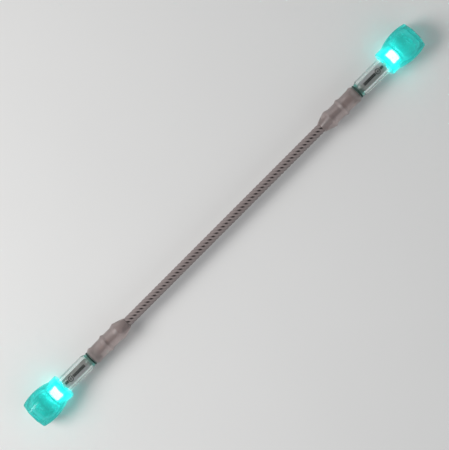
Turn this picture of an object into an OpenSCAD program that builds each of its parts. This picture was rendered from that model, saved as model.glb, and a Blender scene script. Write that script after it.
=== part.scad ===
// Light-up devil stick: a rope-covered rod with a screw-in lamp and a soft glowing cap at each end.
// The stick lies along X with its middle at the origin. Both ends are the same, half a turn apart.

/* [Rod] */
// Length of the whole stick, over both caps
stick_len = 600; // [480:5:900]
// Diameter of the fibreglass rod
rod_d = 6.4; // [4:0.1:8]
// Thickness of the braided cover on the rod
braid_wall = 2.5; // [1:0.1:3.5]

/* [Socket] */
// Length of the frosted socket, from its nose to its mouth
socket_len = 55; // [50:0.5:90]
// Wall of the socket around the lamp's thread
socket_wall = 1.35; // [1:0.05:3]
// Length of the tapered nose
nose_len = 14.1; // [8:0.1:20]
// Wall of the nose at its narrow end
nose_wall = 0.5; // [0.4:0.1:2]
// How far the socket covers the braid
braid_grip = 12.5; // [6:0.5:15]
// Height of the socket's grip ribs
rib_h = 1.7; // [0.5:0.05:2.5]
// Width of a grip rib at its foot
rib_w = 6.6; // [4:0.1:9]
// Height of the low rib around the mouth
mouth_rib_h = 0.9; // [0.3:0.05:1.2]

/* [Lamp tube] */
// Length of the clear tube, from the foot of its shoulder to its open end
tube_len = 58; // [54:0.1:80]
// Wall of the clear tube
tube_wall = 3.9; // [2.5:0.1:6]
// Length of the tapered shoulder
shoulder_len = 4; // [2:0.5:8]
// Depth of the wide bore that holds the lamp
head_depth = 15; // [14:0.5:18]
// Length of the thread on the neck
thread_len = 8; // [6:0.5:12]
// Pitch of the thread
thread_pitch = 2; // [1:0.25:2.5]
// Height of the thread
thread_h = 0.6; // [0.4:0.05:1]
// Bare neck between the socket and the shoulder, where the O-ring sits
seal_space = 3.5; // [2.4:0.1:5]
// Thickness of the O-ring
oring_w = 1.7; // [1:0.1:1.8]

/* [Battery] */
// Diameter of the AAA cell without its label
battery_d = 10.5; // [8:0.1:14.5]
// Length of the cell over its button
battery_len = 44.5; // [36:0.1:54]
// Thickness of the cell's label
label_t = 0.3; // [0.1:0.05:0.5]
// Length of the contact spring as fitted
spring_len = 8.2; // [5:0.1:12]

/* [Lamp] */
// Thickness of the circuit board
board_t = 1; // [0.6:0.1:1.6]
// Width of the square LED package
led_w = 5; // [3:0.5:6]
// Height of the LED package
led_h = 1.6; // [0.8:0.1:2]
// Height of the white reflector
reflector_h = 3.6; // [2.6:0.1:4]
// Height of the contact that meets the battery's button
button_contact_h = 1.5; // [1.3:0.1:3]

/* [Cap] */
// Length of the soft cap
cap_len = 47.1; // [42:0.1:70]
// How far the tube reaches into the cap
cap_reach = 17.1; // [12:0.1:22]
// Wall of the cap's round collar
collar_wall = 5; // [3:0.1:8]
// Length of the round collar
collar_len = 9.4; // [6:0.1:14]
// How far the eight sides swell out beyond the collar
cap_bulge = 4; // [3:0.05:7]
// How far the eight edges stand out beyond the sides
edge_h = 1.15; // [0.5:0.05:1.4]
// Distance of the widest place from the cap's end
widest_from_end = 16.8; // [12:0.1:20]
// Thickness of the cap's end wall
end_wall = 2.9; // [2:0.1:6]
// How much wider than the cap's bore the round chamber is, on the radius
chamber_swell = 3.5; // [1:0.1:5]
// Size of the bevel around the end face
end_bevel = 1.8; // [0.5:0.1:2.5]

/* [Fits] */
// Gap between pieces that are glued or pressed together
glue_gap = 0.05; // [0.02:0.01:0.1]
// Gap between the thread and the socket, on the radius
thread_fit = 0.1; // [0.05:0.01:0.15]
// Gap between the tube and the cap, on the radius
cap_fit = 0.1; // [0.05:0.01:0.15]
// Gap between the labelled cell and the tube, on the radius
battery_fit = 0.55; // [0.3:0.05:1]
// Gap between electric contacts that meet with no force
contact_gap = 0.3; // [0.2:0.05:0.5]

/* [Hidden] */
$fn = 96;
ENDS = ["a", "b"];
END_PARTS = ["socket", "rod_ferrule", "contact_ring", "contact_spring", "battery", "battery_label",
             "lamp_tube", "o_ring", "return_strip", "battery_contact", "driver_parts", "led_board",
             "led_chip", "reflector", "diffuser", "glow_cap"];
// Longer than anything it cuts
past = 1;

// Radii, from the cell outwards
rod_r = rod_d / 2;
braid_r = rod_r + glue_gap + braid_wall;
battery_r = battery_d / 2;
label_r = battery_r + glue_gap + label_t;
tube_bore_r = label_r + battery_fit;
tube_r = tube_bore_r + tube_wall;
strip_t = 0.3;
strip_w = 2;
strip_x = tube_bore_r + 0.1;
groove_depth = strip_t + 0.2;
neck_wall = 0.65;
thread_root_r = tube_bore_r + groove_depth + neck_wall;
thread_r = thread_root_r + thread_h;
oring_bed_r = thread_r - 0.95;
oring_r = oring_bed_r + glue_gap + oring_w / 2;
neck_r = thread_r;
thread_bore_r = thread_r + thread_fit;
socket_r = thread_bore_r + socket_wall;
head_bore_r = tube_bore_r + 1;
board_r = head_bore_r - 2 * glue_gap;
cap_bore_r = tube_r + cap_fit;
collar_r = cap_bore_r + collar_wall;
chamber_r = cap_bore_r + chamber_swell;

// Places along the stick, measured from its middle
end_z = stick_len / 2;
cap_mouth_z = end_z - cap_len;
collar_end_z = cap_mouth_z + collar_len;
widest_z = end_z - widest_from_end;
chamber_z = end_z - end_wall - chamber_r;
tube_end_z = cap_mouth_z + cap_reach;
lip_z = tube_end_z + 0.4;
shoulder_z = tube_end_z - tube_len;
socket_mouth_z = shoulder_z - seal_space;
neck_end_z = socket_mouth_z - thread_len;
board_z = tube_end_z - head_depth;
led_z = board_z + board_t;
diffuser_z = led_z + reflector_h;
button_z = board_z - button_contact_h - contact_gap;
battery_z = button_z - battery_len;
spring_z = battery_z - spring_len;
flange_t = 1.2;
flange_z = spring_z - flange_t;
ferrule_len = 12.8;
ferrule_z = flange_z - ferrule_len;
ring_t = 0.6;
ring_z = neck_end_z - strip_t - contact_gap - ring_t;
nose_z = socket_mouth_z - socket_len;
braid_end_z = nose_z + braid_grip;
cavity_z = min(flange_z, ring_z);

// Radii inside the socket
ferrule_wall = 0.65;
ferrule_r = rod_r + glue_gap + ferrule_wall;
flange_r = tube_bore_r - 0.2;
cavity_r = tube_bore_r + 0.15;

// The contact stud's foot, which the driver's parts stand around
stud_base_r = 2.1;

// The contact spring's wire and coils
wire_r = 0.3;
wire_sides = 8;
coil_turns = 4;
coil_steps = 18 * coil_turns;
coil_foot_r = flange_r - 0.7;
coil_top_r = coil_foot_r - 2.2;
coil_z0 = spring_z + wire_r + 0.05;
coil_z1 = battery_z - wire_r - 0.1;

// Turns what is drawn along +Z to lie along the stick, at the end named
module at_end(end) rotate([0, 0, end == "a" ? 0 : 180]) rotate([0, 90, 0]) children();

// A round rod or, with a bore, a tube, from z0 to z1
module tube(z0, z1, r, bore = 0) {
  translate([0, 0, z0]) difference() {
    cylinder(h = z1 - z0, r = r);
    if (bore > 0) translate([0, 0, -past]) cylinder(h = z1 - z0 + 2 * past, r = bore);
  }
}

module bore(z0, z1, r) translate([0, 0, z0]) cylinder(h = z1 - z0, r = r);

// The fibreglass rod, from ferrule to ferrule
module rod_core() color([0.42, 0.32, 0.27]) rotate([0, 90, 0]) tube(-flange_z, flange_z, rod_r);

// The braided cover, which runs into both sockets
module braid_sleeve() {
  color([0.6, 0.55, 0.54]) rotate([0, 90, 0])
    tube(-braid_end_z, braid_end_z, braid_r, rod_r + glue_gap);
}

// Outline of a grip rib whose top is at z
function rib(z, h) = [[z - rib_w / 2, socket_r], [z - rib_w / 14, socket_r + h],
                      [z + rib_w / 14, socket_r + h], [z + rib_w / 2, socket_r]];

function swapped(points) = [for (p = points) [p[1], p[0]]];

// The frosted socket: a tapered nose, two grip ribs and a low rib around its mouth
module socket() {
  nose_top_z = nose_z + nose_len;
  nose_mid_r = socket_r - 0.45;
  nose_edge = 0.15;
  nose_back = 4.4;
  mid_rib_z = nose_z + 0.585 * socket_len;
  mouth_rib_z = socket_mouth_z - 3;
  mouth_rib_foot = 3.3;
  mouth_rib_top = 0.6;
  mouth_r = thread_bore_r + 0.6;
  outline = concat([[nose_z, 0], [nose_z, braid_r + nose_wall], [nose_z + nose_len / 2, nose_mid_r],
                    [nose_top_z - 1, socket_r + rib_h - nose_edge], [nose_top_z, socket_r + rib_h],
                    [nose_top_z + nose_back, socket_r]],
                   rib(mid_rib_z, rib_h),
                   [[mouth_rib_z - mouth_rib_foot, socket_r],
                    [mouth_rib_z - mouth_rib_top, socket_r + mouth_rib_h],
                    [mouth_rib_z + mouth_rib_top, socket_r + mouth_rib_h], [socket_mouth_z, mouth_r],
                    [socket_mouth_z, 0]]);
  color([0.85, 0.8, 0.8, 0.7]) difference() {
    rotate_extrude() polygon(swapped(outline));
    bore(nose_z - past, braid_end_z, braid_r + glue_gap);
    bore(braid_end_z - past, ferrule_z + past, rod_r + glue_gap);
    bore(ferrule_z, cavity_z + past, ferrule_r + glue_gap);
    bore(cavity_z, ring_z + past, cavity_r);
    bore(ring_z, socket_mouth_z + past, thread_bore_r);
  }
}

// The metal end of the rod, with a flange that the contact spring stands on
module rod_ferrule() {
  color("silver") difference() {
    union() {
      tube(ferrule_z, spring_z, ferrule_r);
      tube(flange_z, spring_z, flange_r);
    }
    bore(ferrule_z - past, flange_z, rod_r + glue_gap);
  }
}

// The brass ring that the return strip's foot meets when the tube is screwed in
module contact_ring() color([0.8, 0.65, 0.3]) tube(ring_z, ring_z + ring_t, thread_bore_r - 0.3, cavity_r);

// One ring of the spring's wire, at step i of its helix
function coil_ring(i) =
  let (share = i / coil_steps, turn = 360 * coil_turns * share)
  let (r = coil_foot_r + (coil_top_r - coil_foot_r) * share, z = coil_z0 + (coil_z1 - coil_z0) * share)
  [for (k = [0:wire_sides - 1])
    let (a = 360 * k / wire_sides, out = r + wire_r * cos(a))
    [out * cos(turn), out * sin(turn), z + wire_r * sin(a)]];

// The conical spring behind the battery: round wire swept along a narrowing helix
module contact_spring() {
  points = [for (i = [0:coil_steps]) each coil_ring(i)];
  sides = [for (i = [0:coil_steps - 1]) for (k = [0:wire_sides - 1])
    let (n = (k + 1) % wire_sides, p = i * wire_sides)
    [p + k, p + n, p + wire_sides + n, p + wire_sides + k]];
  first = [for (k = [wire_sides - 1:-1:0]) k];
  last = [for (k = [0:wire_sides - 1]) coil_steps * wire_sides + k];
  color("silver") polyhedron(points, concat(sides, [first], [last]), convexity = 4);
}

// The AAA cell: its steel can, with a rounded crimp and the raised button
module battery() {
  button_h = 1;
  button_r = 0.26 * battery_d;
  crimp = 0.6;
  can_z = button_z - button_h;
  color([0.75, 0.75, 0.78]) rotate_extrude() polygon(swapped([
    [battery_z, 0], [battery_z, battery_r - crimp], [battery_z + crimp, battery_r],
    [can_z - crimp, battery_r], [can_z, battery_r - crimp], [can_z, battery_r - 2 * crimp],
    [can_z - crimp, battery_r - 2.4 * crimp], [can_z - crimp, button_r], [button_z, button_r - 0.2],
    [button_z, 0]]));
}

// The printed label, shrunk onto the cell
module battery_label() {
  bare_end = 1.2;
  color([0.92, 0.88, 0.9])
    tube(battery_z + bare_end, button_z - 1 - bare_end, label_r, battery_r + glue_gap);
}

// One thread crest as a plain ring around the neck
module crest(z) {
  w = thread_pitch / 4;
  translate([0, 0, z]) rotate_extrude() polygon([
    [tube_bore_r + groove_depth, -w], [thread_root_r, -w], [thread_r, -w / 2], [thread_r, w / 2],
    [thread_root_r, w], [tube_bore_r + groove_depth, w]]);
}

// The clear tube, with its threaded neck, its shoulder and its wide lamp bore
module lamp_tube() {
  edge = 0.6;
  neck_foot_z = socket_mouth_z - 0.5;
  groove_mid_z = (socket_mouth_z + shoulder_z) / 2;
  groove_w = oring_w + 0.3;
  crests = floor(thread_len / thread_pitch);
  color([0.75, 0.88, 0.85, 0.4]) difference() {
    union() {
      tube(neck_end_z, neck_foot_z + past, thread_root_r);
      for (i = [0:crests - 1]) crest(neck_end_z + (i + 0.5) * thread_pitch);
      rotate_extrude() polygon(swapped([
        [neck_foot_z, 0], [neck_foot_z, neck_r], [shoulder_z, neck_r],
        [shoulder_z + shoulder_len, tube_r], [tube_end_z - edge, tube_r],
        [tube_end_z, tube_r - edge], [tube_end_z, 0]]));
    }
    bore(neck_end_z - past, board_z + past, tube_bore_r);
    bore(board_z, tube_end_z + past, head_bore_r);
    tube(groove_mid_z - groove_w / 2, groove_mid_z + groove_w / 2, tube_r + past, oring_bed_r);
    translate([0, -strip_w / 2 - 0.1, neck_end_z - past])
      cube([tube_bore_r + groove_depth, strip_w + 0.2, board_z - neck_end_z + past]);
  }
}

// The O-ring that seals the neck
module o_ring() {
  color([0.08, 0.2, 0.17]) translate([0, 0, (socket_mouth_z + shoulder_z) / 2])
    rotate_extrude() translate([oring_r, 0]) circle(r = oring_w / 2);
}

// The brass strip that carries the return current along the bore, with a foot over the neck's end
module return_strip() {
  foot = 1.2;
  color([0.8, 0.65, 0.3]) union() {
    translate([strip_x, -strip_w / 2, neck_end_z - strip_t])
      cube([strip_t, strip_w, board_z - neck_end_z + strip_t]);
    translate([strip_x, -strip_w / 2, neck_end_z - strip_t]) cube([foot, strip_w, strip_t]);
  }
}

// The brass stud under the board that meets the battery's button
module battery_contact() {
  stud_r = 1.4;
  base_h = 0.5;
  color([0.8, 0.65, 0.3]) union() {
    tube(board_z - base_h, board_z, stud_base_r);
    tube(board_z - button_contact_h, board_z - base_h + 0.1, stud_r);
  }
}

// The driver's chip and passives, soldered around the stud
module driver_parts() {
  seat_r = (stud_base_r + tube_bore_r) / 2;
  sizes = [[2.2, 2.8, 1], [1, 2, 0.7], [1.2, 2, 0.9], [1, 2, 0.7]];
  color([0.1, 0.1, 0.11]) for (i = [0:3])
    rotate([0, 0, 45 + 90 * i]) translate([seat_r - sizes[i][0] / 2, -sizes[i][1] / 2, board_z - sizes[i][2]])
      cube(sizes[i]);
}

// The round circuit board
module led_board() color([0.1, 0.42, 0.28]) tube(board_z, board_z + board_t, board_r);

// The square LED package, with its round lens
module led_chip() {
  lens_r = 0.36 * led_w;
  base_h = 0.6 * led_h;
  color([0.95, 1, 0.98]) union() {
    translate([-led_w / 2, -led_w / 2, led_z]) cube([led_w, led_w, base_h]);
    tube(led_z, led_z + led_h, lens_r);
  }
}

// The white reflector around the LED, open to the diffuser
module reflector() {
  throat_r = led_w / 2 * sqrt(2) + 0.25;
  mouth_r = board_r - 0.8;
  color("white") rotate_extrude() polygon([
    [throat_r, led_z], [board_r, led_z], [board_r, diffuser_z], [mouth_r, diffuser_z]]);
}

// The opal plug that closes the tube and lights up white
module diffuser() {
  inset = 0.1;
  dish_h = 2.2;
  bevel = 0.5;
  top_z = tube_end_z - inset;
  color([0.97, 1, 1]) rotate_extrude() polygon([
    [0, diffuser_z + dish_h], [board_r - 3, diffuser_z + dish_h], [board_r - 1.6, diffuser_z],
    [board_r, diffuser_z], [board_r, top_z - bevel], [board_r - bevel, top_z], [0, top_z]]);
}

// Radius of the arc that rises by h over a run of w and is level at its top
function arc_r(w, h) = (w * w + h * h) / (2 * h);

// Distance from the axis, at z, of an arc that is level at top_z, rise away from the axis
function arc_at(z, top_z, rise, r) = rise - r + sqrt(r * r - (z - top_z) * (z - top_z));

// The sides start a little inside the collar, so that its rim stands proud
side_dip = 0.15;
side_start_z = collar_end_z - 0.3;
side_rise = collar_r + cap_bulge;
side_r = arc_r(widest_z - collar_end_z, cap_bulge + side_dip);
side_end_r = arc_at(end_z, widest_z, side_rise, side_r);

// The eight edges lie on a slightly fuller arc
edge_top_z = widest_z + 0.6;
edge_rise = side_rise + edge_h;
edge_r = arc_r(edge_top_z - collar_end_z, cap_bulge + edge_h);
edge_end_r = arc_at(end_z, edge_top_z, edge_rise, edge_r);

// What is cut away to leave one of the eight sides, and the bevel between it and the end face
module side_cut() {
  w = 0.8 * edge_rise;
  difference() {
    translate([collar_r - 2, -w / 2, side_start_z]) cube([edge_rise, w, end_z - side_start_z + past]);
    translate([side_rise - side_r, 0, widest_z]) rotate([90, 0, 0])
      cylinder(h = w + 2 * past, r = side_r, center = true);
  }
  translate([side_end_r - end_bevel, 0, end_z]) rotate([0, 45, 0])
    translate([-edge_rise / 2, -w / 2, 0]) cube([edge_rise, w, edge_rise / 2]);
}

// The turned form that makes the collar and rounds the eight edges
module cap_round() {
  rotate_extrude() union() {
    translate([0, cap_mouth_z]) square([collar_r, collar_len]);
    intersection() {
      translate([edge_rise - edge_r, edge_top_z]) circle(r = edge_r);
      polygon([[0, collar_end_z - past / 2], [edge_rise + past, collar_end_z - past / 2],
               [edge_rise + past, edge_top_z], [edge_end_r + past, end_z - end_bevel - past],
               [edge_end_r - end_bevel, end_z], [0, end_z]]);
    }
  }
}

// The soft cap: round at the collar, eight-sided beyond it, with a bore for the tube and a round chamber
module glow_cap() {
  lip_r = tube_r - 1.6;
  lip_t = 1.5;
  mouth_bevel = 0.8;
  lip_end_z = max(lip_z + lip_t, chamber_z - sqrt(chamber_r * chamber_r - lip_r * lip_r) + 0.1);
  color([0.15, 0.85, 0.78, 0.8]) difference() {
    cap_round();
    for (i = [0:7]) rotate([0, 0, 45 * i]) side_cut();
    bore(cap_mouth_z - past, lip_z, cap_bore_r);
    bore(lip_z - past, lip_end_z, lip_r);
    translate([0, 0, chamber_z]) sphere(r = chamber_r);
    translate([0, 0, cap_mouth_z - past])
      cylinder(h = past + mouth_bevel, r1 = cap_bore_r + mouth_bevel + past, r2 = cap_bore_r);
  }
}

rod_core();
braid_sleeve();
for (end = ENDS) {
  at_end(end) socket();
  at_end(end) rod_ferrule();
  at_end(end) contact_ring();
  at_end(end) contact_spring();
  at_end(end) battery();
  at_end(end) battery_label();
  at_end(end) lamp_tube();
  at_end(end) o_ring();
  at_end(end) return_strip();
  at_end(end) battery_contact();
  at_end(end) driver_parts();
  at_end(end) led_board();
  at_end(end) led_chip();
  at_end(end) reflector();
  at_end(end) diffuser();
  at_end(end) glow_cap();
}
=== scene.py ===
"""The looks of the light-up devil stick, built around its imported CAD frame.

The stick lies along X with its middle at the origin. Pieces are drawn as rings round that axis: a place is a
distance from the middle towards the end being made, and an angle is measured from the top of the stick.
End "a" is at +X. End "b" is the same, half a turn away about Z.
"""

import math

import bpy
import bmesh
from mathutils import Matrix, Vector


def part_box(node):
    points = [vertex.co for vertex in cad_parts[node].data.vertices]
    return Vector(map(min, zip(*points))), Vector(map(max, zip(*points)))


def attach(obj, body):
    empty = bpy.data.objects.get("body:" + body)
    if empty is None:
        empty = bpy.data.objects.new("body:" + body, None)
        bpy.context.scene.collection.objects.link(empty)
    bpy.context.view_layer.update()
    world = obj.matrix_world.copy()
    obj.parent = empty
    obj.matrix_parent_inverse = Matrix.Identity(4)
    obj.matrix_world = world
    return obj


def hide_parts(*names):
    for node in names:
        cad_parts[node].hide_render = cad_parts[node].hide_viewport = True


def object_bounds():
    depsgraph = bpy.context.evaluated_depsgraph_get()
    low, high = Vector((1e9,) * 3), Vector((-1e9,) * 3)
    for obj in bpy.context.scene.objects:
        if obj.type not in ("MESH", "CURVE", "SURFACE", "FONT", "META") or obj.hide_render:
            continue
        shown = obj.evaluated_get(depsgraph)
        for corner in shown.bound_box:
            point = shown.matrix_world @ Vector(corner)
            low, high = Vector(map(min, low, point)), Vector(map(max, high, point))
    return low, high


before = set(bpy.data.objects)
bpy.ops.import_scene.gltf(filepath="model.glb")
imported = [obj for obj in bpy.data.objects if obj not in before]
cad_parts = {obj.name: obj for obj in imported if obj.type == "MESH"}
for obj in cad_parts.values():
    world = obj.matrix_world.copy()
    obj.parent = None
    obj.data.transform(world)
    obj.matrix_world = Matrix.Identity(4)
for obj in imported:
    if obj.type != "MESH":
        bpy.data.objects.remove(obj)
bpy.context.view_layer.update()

MM = 0.001
ENDS = {"a": 1, "b": -1}
TURN = 2 * math.pi


def span(node):
    """Nearest and furthest distance of a node of end a from the middle, and its largest radius, in metres."""
    lo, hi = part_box(node)
    return lo.x, hi.x, max(hi.y, hi.z)


# Places and radii that the frame gives, in metres from the middle
BRAID_END, BRAID_R = span("braid_sleeve")[1:]
NOSE, MOUTH, _ = span("socket_a")
FERRULE, SPRING_FOOT, _ = span("rod_ferrule_a")
RING = span("contact_ring_a")[0]
NECK_END, TUBE_END, TUBE_R = span("lamp_tube_a")
CELL_R = span("battery_a")[2]
LABEL_0, LABEL_1, LABEL_R = span("battery_label_a")
BOARD, _, BOARD_R = span("led_board_a")
CAP_MOUTH, CAP_END, CAP_R = span("glow_cap_a")
ROD_R = span("rod_core")[2]

# Fits that part.scad uses too
GLUE_GAP = 0.05 * MM
TUBE_BORE_R = LABEL_R + 0.55 * MM
HEAD_BORE_R = BOARD_R + 0.1 * MM


# ---------------------------------------------------------------- mesh helpers

CORNER_STEPS = 4
CORNER_SHARE = 0.45

def at(end, place, radius, angle):
    """The point at that place, radius and angle from the top, at end a or b."""
    s = ENDS[end]
    return (s * place, s * radius * math.sin(angle), radius * math.cos(angle))


def skin(name, end, rings, sides=96, loop=False, smooth_deg=35):
    """A closed skin over rings. A ring is (place, radius), and its radius may be a function of the angle.
    With loop, the last ring joins the first; otherwise the first and last rings are points on the axis."""
    bm = bmesh.new()
    rows = []
    for place, radius in rings:
        if radius == 0:
            rows.append([bm.verts.new(at(end, place, 0, 0))])
            continue
        angles = [TURN * k / sides for k in range(sides)]
        size = radius if callable(radius) else (lambda a, r=radius: r)
        rows.append([bm.verts.new(at(end, place, size(a), a)) for a in angles])
    pairs = list(zip(rows, rows[1:])) + ([(rows[-1], rows[0])] if loop else [])
    for low, high in pairs:
        for k in range(sides):
            n = (k + 1) % sides
            corners = [low[k % len(low)], low[n % len(low)], high[n % len(high)], high[k % len(high)]]
            bm.faces.new(list(dict.fromkeys(corners)))
    return finished(name, bm, smooth_deg)


def finished(name, bm, smooth_deg=35):
    """An object made from bm, with its faces turned outwards and its edges sharp past smooth_deg."""
    bmesh.ops.recalc_face_normals(bm, faces=bm.faces)
    for edge in bm.edges:
        if len(edge.link_faces) == 2 and edge.calc_face_angle(0) > math.radians(smooth_deg):
            edge.smooth = False
    for face in bm.faces:
        face.smooth = True
    mesh = bpy.data.meshes.new(name)
    bm.to_mesh(mesh)
    bm.free()
    obj = bpy.data.objects.new(name, mesh)
    bpy.context.scene.collection.objects.link(obj)
    return obj


def rounded(points):
    """An outline whose corners are rounded: each point is (place, radius, how far its corner is cut).
    A cut takes at most CORNER_SHARE of the side it lies on."""
    made = []
    for i, (x, r, cut) in enumerate(points):
        if cut == 0:
            made.append((x, r))
            continue
        here = Vector((x, r))
        before = Vector(points[i - 1][:2]) - here
        after = Vector(points[(i + 1) % len(points)][:2]) - here
        start = here + before.normalized() * min(cut, before.length * CORNER_SHARE)
        stop = here + after.normalized() * min(cut, after.length * CORNER_SHARE)
        for t in steps(0, 1, CORNER_STEPS):
            p = start * (1 - t) ** 2 + here * 2 * t * (1 - t) + stop * t ** 2
            made.append((p.x, p.y))
    return made


def steps(a, b, n):
    """n + 1 even steps from a to b."""
    return [a + (b - a) * k / n for k in range(n + 1)]


def ease(t):
    """0 before 0, 1 after 1, and a smooth rise between."""
    t = min(max(t, 0), 1)
    return t * t * (3 - 2 * t)


def place_piece(obj, body, material, slot, *replaced):
    """Says what a finished piece rides on, what it is made of and which CAD nodes it stands for."""
    obj.data.materials.clear()
    obj.data.materials.append(material)
    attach(obj, body)
    if replaced:
        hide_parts(*replaced)


# ---------------------------------------------------------------- material helpers

class Paint:
    """A material in the making: its node tree, its Principled shader, and short ways to add to them."""

    def __init__(self, name, **values):
        self.material = bpy.data.materials.new(name)
        self.material.use_nodes = True
        self.tree = self.material.node_tree
        self.shader = self.tree.nodes["Principled BSDF"]
        for socket, value in values.items():
            self.set(socket.replace("_", " "), value)

    def set(self, socket, value):
        """Sets a socket of the shader to a number or a colour, or links an output to it."""
        if isinstance(value, bpy.types.NodeSocket):
            self.tree.links.new(value, self.shader.inputs[socket])
        else:
            self.shader.inputs[socket].default_value = (*value, 1) if isinstance(value, tuple) else value

    def add(self, kind, inputs=(), **settings):
        """A node of that kind. inputs are numbers or outputs, for its inputs in order; None leaves one alone."""
        node = self.tree.nodes.new("ShaderNode" + kind)
        for key, value in settings.items():
            setattr(node, key, value)
        for k, value in enumerate(inputs):
            if isinstance(value, bpy.types.NodeSocket):
                self.tree.links.new(value, node.inputs[k])
            elif value is not None:
                node.inputs[k].default_value = value
        return node

    def math(self, operation, *inputs):
        return self.add("Math", inputs, operation=operation).outputs[0]

    def position(self):
        """The piece's own coordinates, in the shared frame, as one vector."""
        return self.add("TexCoord").outputs["Object"]

    def uv(self):
        return self.add("TexCoord").outputs["UV"]

    def stretched(self, vector, scale):
        return self.add("Mapping", [vector, None, None, scale]).outputs[0]

    def axes(self, vector):
        return self.add("SeparateXYZ", [vector]).outputs

    def noise(self, vector, scale, detail=4.0, rough=0.55):
        node = self.add("TexNoise")
        self.tree.links.new(vector, node.inputs["Vector"])
        node.inputs["Scale"].default_value = scale
        node.inputs["Detail"].default_value = detail
        node.inputs["Roughness"].default_value = rough
        return node.outputs["Fac"]

    def ramp(self, factor, *stops):
        """The colour for factor, between stops given as (place, colour)."""
        node = self.add("ValToRGB", [factor])
        elements = node.color_ramp.elements
        while len(elements) < len(stops):
            elements.new(0.5)
        for element, (where, colour) in zip(elements, stops):
            element.position = where
            element.color = (*colour, 1)
        return node.outputs["Color"]

    def levels(self, factor, low, high, to_low, to_high):
        """factor, from low..high, as a number from to_low to to_high."""
        return self.add("MapRange", [factor, low, high, to_low, to_high]).outputs[0]

    def mix(self, factor, a, b):
        """Two colours mixed by factor. A colour is an output or three numbers."""
        node = self.add("Mix", data_type="RGBA")
        for socket, value in (("Factor_Float", factor), ("A_Color", a), ("B_Color", b)):
            into = next(i for i in node.inputs if i.identifier == socket)
            if isinstance(value, bpy.types.NodeSocket):
                self.tree.links.new(value, into)
            else:
                into.default_value = (*value, 1) if isinstance(value, tuple) else value
        return next(o for o in node.outputs if o.identifier == "Result_Color")

    def bump(self, height, strength, distance):
        node = self.add("Bump")
        node.inputs["Strength"].default_value = strength
        node.inputs["Distance"].default_value = distance
        self.tree.links.new(height, node.inputs["Height"])
        self.set("Normal", node.outputs[0])

    def from_middle(self):
        """Distance from the middle of the stick, along it, at either end."""
        return self.math("ABSOLUTE", self.axes(self.position())["X"])

    def from_axis(self):
        """Distance from the stick's axis."""
        _, y, z = self.axes(self.position())
        return self.math("SQRT", self.math("ADD", self.math("POWER", y, 2.0), self.math("POWER", z, 2.0)))


# ---------------------------------------------------------------- materials

def braid_material():
    """Soft polyester strands: fibres along each strand, with painted shade along the strands' flanks that is
    darkest in the pits, so that the crowns read lighter.
    """
    paint = Paint("braid", Roughness=0.8, Sheen_Weight=0.25, Sheen_Roughness=0.5)
    fibres = paint.noise(paint.stretched(paint.uv(), (60, 3, 1)), 1.0, 3)
    patches = paint.noise(paint.position(), 60, 3)
    pits = paint.add("Attribute", attribute_name=PIT_SHADE).outputs["Fac"]
    base = paint.ramp(fibres, (0.3, (0.21, 0.17, 0.165)), (0.7, (0.35, 0.295, 0.288)))
    base = paint.mix(paint.levels(patches, 0.4, 0.7, 0, 0.2), base, (0.17, 0.13, 0.125))
    # painted shade: the pit_shade attribute darkens each strand's flanks, and its pits most, towards near-black
    base = paint.mix(paint.levels(pits, 0.05, 0.9, 0, 0.88), base, (0.03, 0.018, 0.018))
    paint.set("Base Color", base)
    paint.bump(fibres, 0.6, 0.15 * MM)
    return paint.material


def pit_shade_material():
    """The rope's inner yarns, painted near-black as the shade seen in the pits between the strands."""
    paint = Paint("braid_pit_shade", Roughness=0.95)
    grain = paint.noise(paint.position(), 900, 3)
    # painted shade: the inner yarns are coloured near-black so that the pits read as shaded
    paint.set("Base Color", paint.ramp(grain, (0.3, (0.012, 0.007, 0.007)), (0.7, (0.035, 0.022, 0.022))))
    paint.bump(grain, 0.5, 0.2 * MM)
    return paint.material


def rod_material():
    """Pultruded glass fibre: brown resin with pale fibres that run along the rod."""
    paint = Paint("rod", Roughness=0.4, Coat_Weight=0.3)
    fibres = paint.noise(paint.stretched(paint.position(), (8, 900, 900)), 1.0, 4)
    paint.set("Base Color", paint.ramp(fibres, (0.3, (0.11, 0.065, 0.05)), (0.7, (0.24, 0.155, 0.125))))
    paint.bump(fibres, 0.3, 0.05 * MM)
    return paint.material


def socket_material():
    """Frosted, milky vinyl with a faint pink cast and a fine spark-eroded grain."""
    paint = Paint("socket", IOR=1.45, Transmission_Weight=0.78, Specular_IOR_Level=0.25)
    grain = paint.noise(paint.position(), 2600, 3)
    clouds = paint.noise(paint.position(), 90, 4)
    streaks = paint.noise(paint.stretched(paint.position(), (60, 500, 500)), 1.0, 3)
    base = paint.ramp(clouds, (0.3, (0.61, 0.515, 0.5)), (0.7, (0.71, 0.62, 0.605)))
    paint.set("Base Color", paint.mix(paint.levels(streaks, 0.4, 0.75, 0, 0.3), base, (0.54, 0.44, 0.42)))
    paint.set("Roughness", paint.levels(clouds, 0.3, 0.7, 0.3, 0.42))
    paint.bump(grain, 0.35, 0.06 * MM)
    return paint.material


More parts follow.
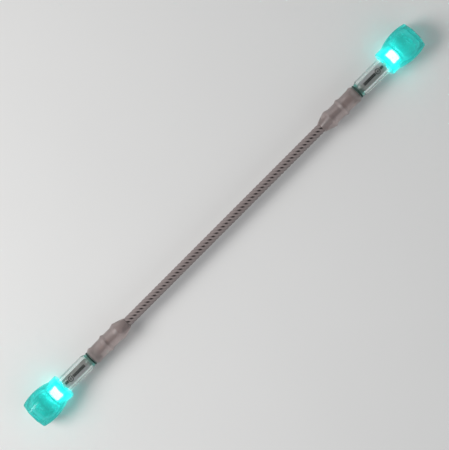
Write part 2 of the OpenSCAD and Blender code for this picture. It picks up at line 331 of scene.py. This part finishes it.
def tube_material():
    """Clear acrylic with a green cast, fine handling scratches, and light that leaks along it from the cap."""
    paint = Paint("clear_tube", IOR=1.49, Transmission_Weight=1.0, Specular_IOR_Level=0.3)
    scratches = paint.noise(paint.stretched(paint.position(), (90, 1400, 1400)), 1.0, 2, 0.7)
    smears = paint.noise(paint.position(), 70, 3)
    clear = paint.ramp(smears, (0.3, (0.84, 0.93, 0.91)), (0.7, (0.9, 0.96, 0.945)))
    neck = paint.levels(paint.from_middle(), SHOULDER + SHOULDER_LEN + TINT_REACH, SHOULDER + MM, 0, 0.85)
    paint.set("Base Color", paint.mix(neck, clear, (0.36, 0.66, 0.58)))
    paint.set("Roughness", paint.math("MAXIMUM", paint.levels(smears, 0.35, 0.7, 0.03, 0.12),
                                      paint.math("MULTIPLY", neck, 0.4)))
    paint.set("Emission Color", (0.05, 0.8, 0.72))
    leak = paint.levels(paint.from_middle(), CAP_MOUTH - LEAK_REACH, CAP_MOUTH, 0, 1)
    paint.set("Emission Strength", paint.math("MULTIPLY", paint.math("POWER", leak, 4.0), 0.3))
    paint.bump(scratches, 0.05, 0.04 * MM)
    return paint.material


def cap_material():
    """Soft translucent silicone, lit from inside: cyan round the lamp, and greyer teal towards the end."""
    paint = Paint("glow_cap", IOR=1.41, Transmission_Weight=0.8, Specular_IOR_Level=0.4)
    clouds = paint.noise(paint.position(), 70, 3)
    grain = paint.noise(paint.position(), 900, 2)
    along = paint.levels(paint.from_middle(), CAP_MOUTH, CAP_END, 0, 1)
    paint.set("Base Color", paint.ramp(clouds, (0.3, (0.06, 0.57, 0.53)), (0.7, (0.085, 0.65, 0.6))))
    glow = paint.ramp(
        along,
        (0.0, (0.001, 0.36, 0.37)),
        (0.2, (0.002, 0.37, 0.37)),
        (0.38, (0.002, 0.23, 0.228)),
        (0.6, (0.004, 0.12, 0.117)),
        (1.0, (0.006, 0.065, 0.061)),
    )
    paint.set("Emission Color", glow)
    near_lamp = paint.levels(paint.from_axis(), CAP_BORE_R, COLLAR_R, 1.2, 0.62)
    paint.set("Emission Strength", paint.math("MULTIPLY", near_lamp, paint.levels(clouds, 0.3, 0.7, 0.92, 1.08)))
    paint.set("Roughness", paint.levels(clouds, 0.3, 0.7, 0.1, 0.16))
    paint.bump(grain, 0.1, 0.04 * MM)
    return paint.material


def label_material():
    """A printed film on the cell: pinkish off-white, a dark bar, and a ring with a plus at the button end."""
    paint = Paint("battery_label", Roughness=0.5, Specular_IOR_Level=0.2)
    place, across = paint.axes(paint.uv())[:2]
    speckle = paint.noise(paint.position(), 700, 4)
    base = paint.ramp(speckle, (0.35, (0.4, 0.31, 0.32)), (0.65, (0.6, 0.5, 0.51)))
    base = paint.mix(paint.levels(across, 3 * MM, -2 * MM, 0, 0.8), base, (0.38, 0.34, 0.33))
    base = paint.mix(paint.levels(across, 1.4 * MM, 2.6 * MM, 0, 0.85), base, (0.7, 0.62, 0.65))
    ink = (0.008, 0.006, 0.006)

    def box(x0, x1, half):
        """1 inside a printed rectangle, lengthwise from x0 to x1 and as wide as twice half."""
        x_in = paint.math("COMPARE", place, (x0 + x1) / 2, (x1 - x0) / 2)
        y_in = paint.math("COMPARE", across, 0.0, half)
        return paint.math("MULTIPLY", x_in, y_in)

    bar_half_w, button_bar_half_w = 1.5 * MM, 1.2 * MM
    ring_at, ring_r, ring_room, stroke = LABEL_1 - 9.7 * MM, 2.7 * MM, 3.8 * MM, 0.55 * MM
    plus_arm, plus_stroke = 1.2 * MM, 0.35 * MM
    off = paint.math("SUBTRACT", place, ring_at)
    out = paint.math("SQRT", paint.math("ADD", paint.math("POWER", off, 2.0), paint.math("POWER", across, 2.0)))
    marks = [
        box(LABEL_0 + 10 * MM, ring_at - ring_room, bar_half_w),
        box(ring_at - plus_arm, ring_at + plus_arm, plus_stroke),
        box(ring_at - plus_stroke, ring_at + plus_stroke, plus_arm),
        box(ring_at + ring_room, LABEL_1 - 1.5 * MM, button_bar_half_w),
        paint.math("COMPARE", out, ring_r, stroke),
    ]
    printed = marks[0]
    for mark in marks[1:]:
        printed = paint.math("MAXIMUM", printed, mark)
    worn = paint.math("MULTIPLY", printed, paint.levels(speckle, 0.3, 0.6, 0.8, 1.0))
    paint.set("Base Color", paint.mix(worn, base, ink))
    paint.bump(speckle, 0.1, 0.05 * MM)
    return paint.material


def diffuser_material():
    """Opal acrylic in front of the LED, white-hot while the lamp is on."""
    paint = Paint("diffuser", Roughness=0.35, Emission_Color=(1.0, 0.66, 0.65))
    clouds = paint.noise(paint.position(), 300, 3)
    paint.set("Base Color", paint.ramp(clouds, (0.3, (0.9, 0.98, 0.97)), (0.7, (1.0, 1.0, 1.0))))
    paint.set("Emission Strength", paint.levels(clouds, 0.3, 0.7, 23.0, 25.0))
    return paint.material


def metal_material(name, dark, light, rough, stretch=(400, 400, 400)):
    """A worn metal: colour and gloss that vary along a fine grain."""
    paint = Paint(name, Metallic=1.0)
    grain = paint.noise(paint.stretched(paint.position(), stretch), 1.0, 5)
    blotches = paint.noise(paint.position(), 160, 3)
    base = paint.ramp(grain, (0.3, dark), (0.7, light))
    paint.set("Base Color", paint.mix(paint.levels(blotches, 0.45, 0.75, 0, 0.4), base, dark))
    paint.set("Roughness", paint.levels(grain, 0.3, 0.7, rough, rough + 0.18))
    paint.bump(grain, 0.2, 0.04 * MM)
    return paint.material


def o_ring_material():
    """Dark green nitrile rubber with a satin bloom."""
    paint = Paint("o_ring")
    grain = paint.noise(paint.position(), 1500, 3)
    paint.set("Base Color", paint.ramp(grain, (0.35, (0.008, 0.035, 0.028)), (0.7, (0.02, 0.075, 0.06))))
    paint.set("Roughness", paint.levels(grain, 0.3, 0.7, 0.35, 0.55))
    paint.bump(grain, 0.2, 0.04 * MM)
    return paint.material


def board_material():
    """Green solder mask over woven glass cloth, with a bare ring of copper near its edge."""
    paint = Paint("board", Roughness=0.35, Coat_Weight=0.3)
    _, y, z = paint.axes(paint.position())
    threads = 5200.0
    weave = paint.math("MULTIPLY", paint.math("SINE", paint.math("MULTIPLY", y, threads)),
                       paint.math("SINE", paint.math("MULTIPLY", z, threads)))
    mask = paint.ramp(paint.levels(weave, -1, 1, 0, 1), (0.2, (0.01, 0.16, 0.08)), (0.8, (0.025, 0.26, 0.14)))
    ring = paint.math("COMPARE", paint.from_axis(), BOARD_R - 0.6 * MM, 0.5 * MM)
    paint.set("Base Color", paint.mix(ring, mask, (0.72, 0.5, 0.2)))
    paint.bump(weave, 0.15, 0.03 * MM)
    return paint.material


def chip_material():
    """Black moulded epoxy with a fine matt texture."""
    paint = Paint("chips", Roughness=0.6)
    grain = paint.noise(paint.position(), 4000, 2)
    paint.set("Base Color", paint.ramp(grain, (0.3, (0.012, 0.012, 0.013)), (0.7, (0.04, 0.04, 0.043))))
    paint.bump(grain, 0.4, 0.03 * MM)
    return paint.material


def led_material():
    """The LED package: white ceramic with a yellow-green phosphor round the lens, lit."""
    paint = Paint("led", Roughness=0.3)
    phosphor = paint.levels(paint.from_axis(), 1.5 * MM, 1.9 * MM, 1, 0)
    paint.set("Base Color", paint.mix(phosphor, (0.85, 0.87, 0.84), (0.8, 0.86, 0.3)))
    paint.set("Emission Color", (0.9, 1.0, 0.98))
    paint.set("Emission Strength", paint.math("MULTIPLY", phosphor, 4.0))
    return paint.material


def reflector_material():
    """White moulded plastic with a soft gloss and flow marks, and a faint painted cyan-white glow that stands
    for the lamp's light on it.
    """
    # painted light: the emission stands for the LED's light falling on the reflector
    paint = Paint("reflector", Emission_Color=(0.85, 1.0, 0.98), Emission_Strength=0.4)
    flow = paint.noise(paint.position(), 500, 4)
    paint.set("Base Color", paint.ramp(flow, (0.3, (0.78, 0.8, 0.79)), (0.7, (0.92, 0.93, 0.92))))
    paint.set("Roughness", paint.levels(flow, 0.3, 0.7, 0.3, 0.5))
    return paint.material


def floor_material():
    """A plain pale studio floor, with a trace of unevenness."""
    paint = Paint("floor", Roughness=0.7, Specular_IOR_Level=0.2)
    paint.set("Base Color", paint.ramp(paint.noise(paint.position(), 3, 3), (0.3, (0.77, 0.77, 0.765)),
                                       (0.7, (0.79, 0.79, 0.785))))
    return paint.material


# ---------------------------------------------------------------- the braid

STRANDS = 8
BRAID_LEAD = 41.2 * MM
ROW_ANGLE = math.radians(-4.5)
STRAND_HEIGHT = 1.0 * MM
STRAND_HALF_W = 1.95 * MM
PIT_ROWS = 4
PIT_NARROWING = 0.54
PIT_DIP = 0.5 * MM
# painted shade that every strand's flank gets, even outside the pits
GAP_SHADE = 0.42
PIT_SHADE = "pit_shade"
YARN_DEPTH = 1.5 * MM
UV_PER_STEP = 0.14
UV_PER_STRAND = 7


def squared(value, power=0.75):
    """A sine or cosine made blunter, so that a round section becomes a fuller one."""
    return math.copysign(abs(value) ** power, value)


def pit_depth(angle):
    """How open the gap between two strands is at that angle from the top, from 0 to 1: pits lie in four rows."""
    return (0.5 + 0.5 * math.cos(PIT_ROWS * (angle - ROW_ANGLE))) ** 2


def strand_section(x, k, sides):
    """Points round strand k at x, each with the painted shade its colour gets, from 0 to 1: none on the crown,
    some along each flank, and most where a flank lies in a pit.
    Each flank of a strand draws in and drops where it crosses one of the lengthwise rows of pits."""
    centre_r = BRAID_R - STRAND_HEIGHT
    lean = math.atan(TURN * centre_r / BRAID_LEAD)
    angle = TURN * (k / STRANDS - x / BRAID_LEAD)
    flank = math.pi / STRANDS * math.cos(lean) ** 2
    outward = Vector((0, math.sin(angle), math.cos(angle)))
    round_it = Vector((0, math.cos(angle), -math.sin(angle)))
    sideways = round_it * math.cos(lean) + Vector((1, 0, 0)) * math.sin(lean)
    centre = Vector((x, 0, 0)) + outward * centre_r
    for a in steps(0, TURN, sides)[:-1]:
        across, up = squared(math.sin(a)), -squared(math.cos(a))
        pit = pit_depth(angle + math.copysign(flank, across))
        half_w = STRAND_HALF_W * (1 - PIT_NARROWING * pit)
        drop = PIT_DIP * pit * abs(across)
        point = centre + sideways * half_w * across + outward * (STRAND_HEIGHT * up - drop)
        # painted shade for this point: stored on the mesh and read by braid_material
        yield point, max(pit, GAP_SHADE) * math.sin(a) ** 2


def strands():
    """Eight strands laid round the rod, with the way round each in UV x and its length in UV y."""
    count, sides = 720, 10
    bm = bmesh.new()
    uv = bm.loops.layers.uv.new("UVMap")
    shade = bm.verts.layers.float.new(PIT_SHADE)
    places = steps(-BRAID_END, BRAID_END, count)
    for k in range(STRANDS):
        rows = []
        for x in places:
            row = []
            for point, painted_shade in strand_section(x, k, sides):
                row.append(bm.verts.new(point))
                row[-1][shade] = painted_shade
            rows.append(row)
        for i, (low, high) in enumerate(zip(rows, rows[1:])):
            for j in range(sides):
                n = (j + 1) % sides
                face = bm.faces.new([low[j], low[n], high[n], high[j]])
                for loop, du, dv in zip(face.loops, (0, 1, 1, 0), (0, 0, 1, 1)):
                    loop[uv].uv = ((j + du) / sides, (i + dv) * UV_PER_STEP + k * UV_PER_STRAND)
        bm.faces.new(rows[0])
        bm.faces.new(rows[-1])
    return finished("braid_strands", bm, 80)


def inner_yarns():
    """The bundle under the strands, from end to end, which its material paints near-black as shade for the pits.
    """
    inner, outer = ROD_R + GLUE_GAP, BRAID_R - YARN_DEPTH
    tube = [(-BRAID_END, inner), (-BRAID_END, outer)]
    tube += [(x, outer) for x in steps(-BRAID_END, BRAID_END, 60)[1:-1]]
    tube += [(BRAID_END, outer), (BRAID_END, inner)]
    return skin("braid_inner_yarns", "a", tube, sides=48, loop=True)


def make_braid():
    place_piece(strands(), "stick", braid_material(), "braid", "braid_sleeve")
    place_piece(inner_yarns(), "stick", pit_shade_material(), "braid")


# ---------------------------------------------------------------- the sockets

SOCKET_R = 9.35 * MM
RIB_H = 1.7 * MM
MOUTH_RIB_H = 0.9 * MM
RIB_HALF_W = 3.3 * MM
NOSE_EDGE = 0.55 * MM
NOSE_LEN = 14.1 * MM
NOSE_BACK = 4.4 * MM
NOSE_MID_DIP = 0.45 * MM
MID_RIB = 32.2 * MM
MOUTH_RIB_BACK = 3 * MM
MOUTH_BEVEL = 0.3 * MM
MOUTH_WALL = 0.7 * MM
THREAD_BORE_R = 8.0 * MM
SPRING_BORE_R = 6.3 * MM
FLANGE_SEAT = SPRING_FOOT - 1.2 * MM
FERRULE_BORE_R = ROD_R + 0.75 * MM


def socket_outline():
    """The socket's section: nose, ribs and mouth outside, and the stepped bore inside."""
    nose_top, mid = NOSE + NOSE_LEN, NOSE + MID_RIB
    mouth_rib = MOUTH - MOUTH_RIB_BACK
    outside = [
        (NOSE, BRAID_R + NOSE_EDGE, 0.25 * MM),
        (NOSE + NOSE_LEN / 2, SOCKET_R - NOSE_MID_DIP, 2 * MM),
        (nose_top - 0.3 * MM, SOCKET_R + RIB_H, 0.5 * MM),
        (nose_top + NOSE_BACK, SOCKET_R, 0.8 * MM),
        (mid - RIB_HALF_W, SOCKET_R, 0.8 * MM),
        (mid, SOCKET_R + RIB_H, 0.4 * MM),
        (mid + RIB_HALF_W, SOCKET_R, 0.8 * MM),
        (mouth_rib - RIB_HALF_W, SOCKET_R, 0.8 * MM),
        (mouth_rib, SOCKET_R + MOUTH_RIB_H, 0.6 * MM),
        (MOUTH - MOUTH_BEVEL, THREAD_BORE_R + MOUTH_WALL, 0.4 * MM),
        (MOUTH, THREAD_BORE_R + MOUTH_BEVEL, 0.2 * MM),
    ]
    inside = [
        (MOUTH, THREAD_BORE_R, 0.1 * MM),
        (RING, THREAD_BORE_R, 0),
        (RING, SPRING_BORE_R, 0),
        (FLANGE_SEAT, SPRING_BORE_R, 0),
        (FLANGE_SEAT, FERRULE_BORE_R, 0),
        (FERRULE, FERRULE_BORE_R, 0),
        (FERRULE, ROD_R + GLUE_GAP, 0),
        (BRAID_END, ROD_R + GLUE_GAP, 0),
        (BRAID_END, BRAID_R + GLUE_GAP, 0),
        (NOSE, BRAID_R + GLUE_GAP, 0.1 * MM),
    ]
    return rounded(outside + inside)


def make_socket(end, material):
    obj = skin(f"socket_shell_{end}", end, socket_outline(), sides=128, loop=True, smooth_deg=50)
    place_piece(obj, "stick", material, "socket", f"socket_{end}")


# ---------------------------------------------------------------- the clear tube

PITCH = 2 * MM
THREAD_H = 0.6 * MM
THREAD_R = 7.9 * MM
THREAD_END = MOUTH - 0.3 * MM
THREAD_FADE = 1.5
THREAD_FULLNESS = 0.9
SHOULDER = MOUTH + 3.5 * MM
SHOULDER_LEN = 4 * MM
ORING_BED_R = 6.95 * MM
ORING_W = 2.0 * MM
GROOVE_DEPTH = 0.5 * MM
GROOVE_HALF = math.radians(11.5)
TINT_REACH = 1.5 * MM
LEAK_REACH = 12 * MM


def thread_radius(x):
    """The neck's radius at x, as a function of the angle: a right-hand thread that starts and ends gently."""
    last = MOUTH - 0.4 * MM
    strength = ease((x - NECK_END) / PITCH * THREAD_FADE) * ease((last - x) / PITCH * THREAD_FADE)

    def radius(angle):
        wave = math.cos(TURN * ((x - NECK_END) / PITCH + angle / TURN))
        return THREAD_R - THREAD_H + THREAD_H * strength * ease(0.5 + THREAD_FULLNESS * wave)

    return radius


def bore_radius(angle):
    """The tube's bore, with the groove along its bottom that holds the brass strip."""
    off_bottom = abs(angle - math.pi)
    return TUBE_BORE_R + (GROOVE_DEPTH if off_bottom < GROOVE_HALF else 0)


def tube_rings():
    """From the neck's end over the thread, the O-ring's bed and the shoulder, and back through the bore."""
    groove = (MOUTH + SHOULDER) / 2
    outside = rounded([
        (THREAD_END, THREAD_R - THREAD_H, 0),
        (MOUTH - 0.1 * MM, THREAD_R, 0.1 * MM),
        (groove - ORING_W / 2, THREAD_R, 0.1 * MM),
        (groove - ORING_W / 2, ORING_BED_R, 0.1 * MM),
        (groove + ORING_W / 2, ORING_BED_R, 0.1 * MM),
        (groove + ORING_W / 2, THREAD_R, 0.1 * MM),
        (SHOULDER, THREAD_R, 0.3 * MM),
        (SHOULDER + SHOULDER_LEN, TUBE_R, 1.6 * MM),
        (TUBE_END, TUBE_R, 0.7 * MM),
        (TUBE_END, HEAD_BORE_R, 0.2 * MM),
        (BOARD, HEAD_BORE_R, 0.1 * MM),
    ])
    thread = [(x, thread_radius(x)) for x in steps(NECK_END, THREAD_END, 90)]
    bore = [(x, bore_radius) for x in (BOARD, NECK_END + 0.2 * MM, NECK_END)]
    return thread + outside[1:] + bore


def make_tube(end, material):
    obj = skin(f"clear_tube_{end}", end, tube_rings(), sides=128, loop=True, smooth_deg=40)
    place_piece(obj, f"lamp_{end}", material, "clear_tube", f"lamp_tube_{end}")


# ---------------------------------------------------------------- the soft cap

COLLAR_LEN = 9.4 * MM
COLLAR_R = CAP_R - 4 * MM
SIDE_DIP = 0.15 * MM
EDGE_H = 1.15 * MM
WIDEST = CAP_END - 16.8 * MM
EDGE_TOP = WIDEST + 0.6 * MM
END_BEVEL = 2.4 * MM
CAP_BORE_R = TUBE_R + 0.1 * MM
CHAMBER_R = CAP_BORE_R + 3.5 * MM
CHAMBER = CAP_END - 2.9 * MM - CHAMBER_R
LIP_R = TUBE_R - 1.6 * MM
SEAT = TUBE_END + 0.4 * MM
LEAD_IN = 0.8 * MM
EDGE_SOFTNESS = 0.5 * MM


def arc(x, top, rise, run, height):
    """Radius at x of an arc that is level at top, rise from the axis, and height lower at run from there."""
    r = (run * run + height * height) / (2 * height)
    return rise - r + math.sqrt(r * r - (x - top) ** 2)


def soft_min(a, b, k):
    """The smaller of two radii, with the corner where they cross rounded over k."""
    h = min(max(0.5 + 0.5 * (b - a) / k, 0), 1)
    return b + (a - b) * h - k * h * (1 - h)


def cap_radius(x, inset=0):
    """The cap's outside at x, less inset, as a function of the angle: a circle at the collar, and eight sides
    that swell and close in again beyond it, with softened edges between them."""
    collar_end = CAP_MOUTH + COLLAR_LEN
    if x <= collar_end:
        return COLLAR_R - inset
    side = arc(x, WIDEST, CAP_R, WIDEST - collar_end, CAP_R - COLLAR_R + SIDE_DIP)
    edge = arc(x, EDGE_TOP, CAP_R + EDGE_H, EDGE_TOP - collar_end, CAP_R + EDGE_H - COLLAR_R)

    def radius(angle):
        off = (angle + TURN / 16) % (TURN / 8) - TURN / 16
        return soft_min(side / math.cos(off), edge, EDGE_SOFTNESS) - inset

    return radius


def cap_rings():
    """From the middle of the end face, over the outside, round the mouth and through the bore to the chamber."""
    top = CAP_END - END_BEVEL
    face = [(CAP_END, 0)]
    face += [(CAP_END, (lambda a, s=s: s * cap_radius(top, END_BEVEL)(a))) for s in steps(0.15, 0.97, 8)]
    bevel = [(top + END_BEVEL * math.cos(a), cap_radius(top, END_BEVEL * (1 - math.sin(a))))
             for a in steps(0, math.pi / 2, 6)]
    collar_end = CAP_MOUTH + COLLAR_LEN
    body = [(x, cap_radius(x)) for x in steps(top, collar_end + 0.02 * MM, 44)[1:]]
    collar = rounded([
        (collar_end, COLLAR_R, 0.1 * MM),
        (CAP_MOUTH, COLLAR_R, 0.6 * MM),
        (CAP_MOUTH, CAP_BORE_R + LEAD_IN, 0.3 * MM),
        (CAP_MOUTH + LEAD_IN, CAP_BORE_R, 0.3 * MM),
        (SEAT, CAP_BORE_R, 0.2 * MM),
        (SEAT, LIP_R, 0.4 * MM),
        (CHAMBER - math.sqrt(CHAMBER_R ** 2 - LIP_R ** 2), LIP_R, 0.3 * MM),
        (CHAMBER - math.sqrt(CHAMBER_R ** 2 - (LIP_R + MM) ** 2), LIP_R + MM, 0),
    ])
    start = math.pi - math.asin((LIP_R + 1.5 * MM) / CHAMBER_R)
    chamber = [(CHAMBER + CHAMBER_R * math.cos(a), CHAMBER_R * math.sin(a)) for a in steps(start, 0, 30)[:-1]]
    return face + bevel + body + collar + chamber + [(CHAMBER + CHAMBER_R, 0)]


def make_cap(end, material):
    obj = skin(f"soft_cap_{end}", end, cap_rings(), sides=192, smooth_deg=60)
    place_piece(obj, f"cap_{end}", material, "glow_cap", f"glow_cap_{end}")


# ---------------------------------------------------------------- the cell

def make_label(end, material):
    """The label as a thin film, with its place along the stick in UV x and the way round it in UV y."""
    ends = (LABEL_0, LABEL_1)
    film = CELL_R + GLUE_GAP
    rings = [(LABEL_0, film), *[(x, LABEL_R) for x in steps(*ends, 20)], (LABEL_1, film)]
    obj = skin(f"cell_film_{end}", end, rings, sides=96, loop=True)
    mesh = obj.data
    layer = mesh.uv_layers.new(name="UVMap")
    for face in mesh.polygons:
        way = [ENDS[end] * mesh.vertices[i].co.y for i in face.vertices]
        up = [mesh.vertices[i].co.z for i in face.vertices]
        angles = [math.atan2(y, z) for y, z in zip(way, up)]
        if max(angles) - min(angles) > math.pi:
            angles = [a + TURN if a < 0 else a for a in angles]
        for loop, vertex, angle in zip(face.loop_indices, face.vertices, angles):
            layer.data[loop].uv = (ENDS[end] * mesh.vertices[vertex].co.x, angle * LABEL_R)
    place_piece(obj, f"cell_{end}", material, "battery_label", f"battery_label_{end}")


# ---------------------------------------------------------------- floor, light, camera

FLOOR_SIZE = 12
CAMERA_HEIGHT = 1.62
CAMERA_LENS = 116.15
CAMERA_TURN = math.radians(45.07)


def make_floor():
    bpy.ops.mesh.primitive_plane_add(size=FLOOR_SIZE, location=(0, 0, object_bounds()[0].z))
    floor = bpy.context.object
    floor.name = "floor"
    floor.data.materials.append(floor_material())


def area_light(name, location, size, power, colour):
    light = bpy.data.lights.new(name, "AREA")
    light.size = size
    light.energy = power
    light.color = colour
    obj = bpy.data.objects.new(name, light)
    obj.location = location
    obj.rotation_mode = "QUATERNION"
    obj.rotation_quaternion = (-Vector(location)).to_track_quat("-Z", "Y")
    bpy.context.scene.collection.objects.link(obj)


def make_light():
    """A soft key from the left of the view, well along the stick so that the tubes hardly mirror it, a weak fill
    opposite, and an even pale room."""
    area_light("key", (-1.1, 0.7, 1.3), 1.0, 25, (1.0, 0.985, 0.97))
    area_light("fill", (0.2, -1.4, 1.1), 1.2, 3, (0.96, 0.98, 1.0))
    world = bpy.data.worlds.new("room")
    bpy.context.scene.world = world
    world.use_nodes = True
    world.node_tree.nodes["Background"].inputs["Color"].default_value = (0.93, 0.95, 0.97, 1)
    world.node_tree.nodes["Background"].inputs["Strength"].default_value = 0.34
    bpy.context.scene.view_settings.view_transform = "Standard"


def make_camera():
    """Straight above the stick, turned so that the stick crosses the view from lower left to upper right."""
    camera = bpy.data.cameras.new("camera")
    camera.lens = CAMERA_LENS
    camera.sensor_width = 36
    obj = bpy.data.objects.new("camera", camera)
    obj.location = (0.2 * MM, -0.15 * MM, CAMERA_HEIGHT)
    obj.rotation_euler = (0, 0, -CAMERA_TURN)
    bpy.context.scene.collection.objects.link(obj)
    bpy.context.scene.camera = obj


# ---------------------------------------------------------------- putting it together

def dress(node, material):
    """Gives a CAD node that keeps its own shape its finished material."""
    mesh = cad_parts[node].data
    mesh.materials.clear()
    mesh.materials.append(material)
    mesh.polygons.foreach_set("material_index", [0] * len(mesh.polygons))


def make_end_parts():
    """Everything that both ends have, with one material for each kind of part."""
    socket, tube, cap, label = socket_material(), tube_material(), cap_material(), label_material()
    brass = metal_material("brass", (0.42, 0.27, 0.08), (0.78, 0.58, 0.24), 0.22)
    steel = metal_material("spring", (0.36, 0.36, 0.37), (0.66, 0.66, 0.68), 0.2)
    looks = {
        "rod_ferrule": metal_material("ferrule", (0.2, 0.12, 0.09), (0.36, 0.24, 0.19), 0.4, (60, 900, 900)),
        "contact_ring": brass,
        "return_strip": brass,
        "battery_contact": brass,
        "contact_spring": steel,
        "battery": metal_material("battery_can", (0.42, 0.42, 0.44), (0.7, 0.7, 0.73), 0.2, (30, 700, 700)),
        "o_ring": o_ring_material(),
        "led_board": board_material(),
        "driver_parts": chip_material(),
        "led_chip": led_material(),
        "reflector": reflector_material(),
        "diffuser": diffuser_material(),
    }
    for end in ENDS:
        make_socket(end, socket)
        make_tube(end, tube)
        make_cap(end, cap)
        make_label(end, label)
        for part, look in looks.items():
            dress(f"{part}_{end}", look)


make_camera()
make_light()
dress("rod_core", rod_material())
make_braid()
make_end_parts()
make_floor()
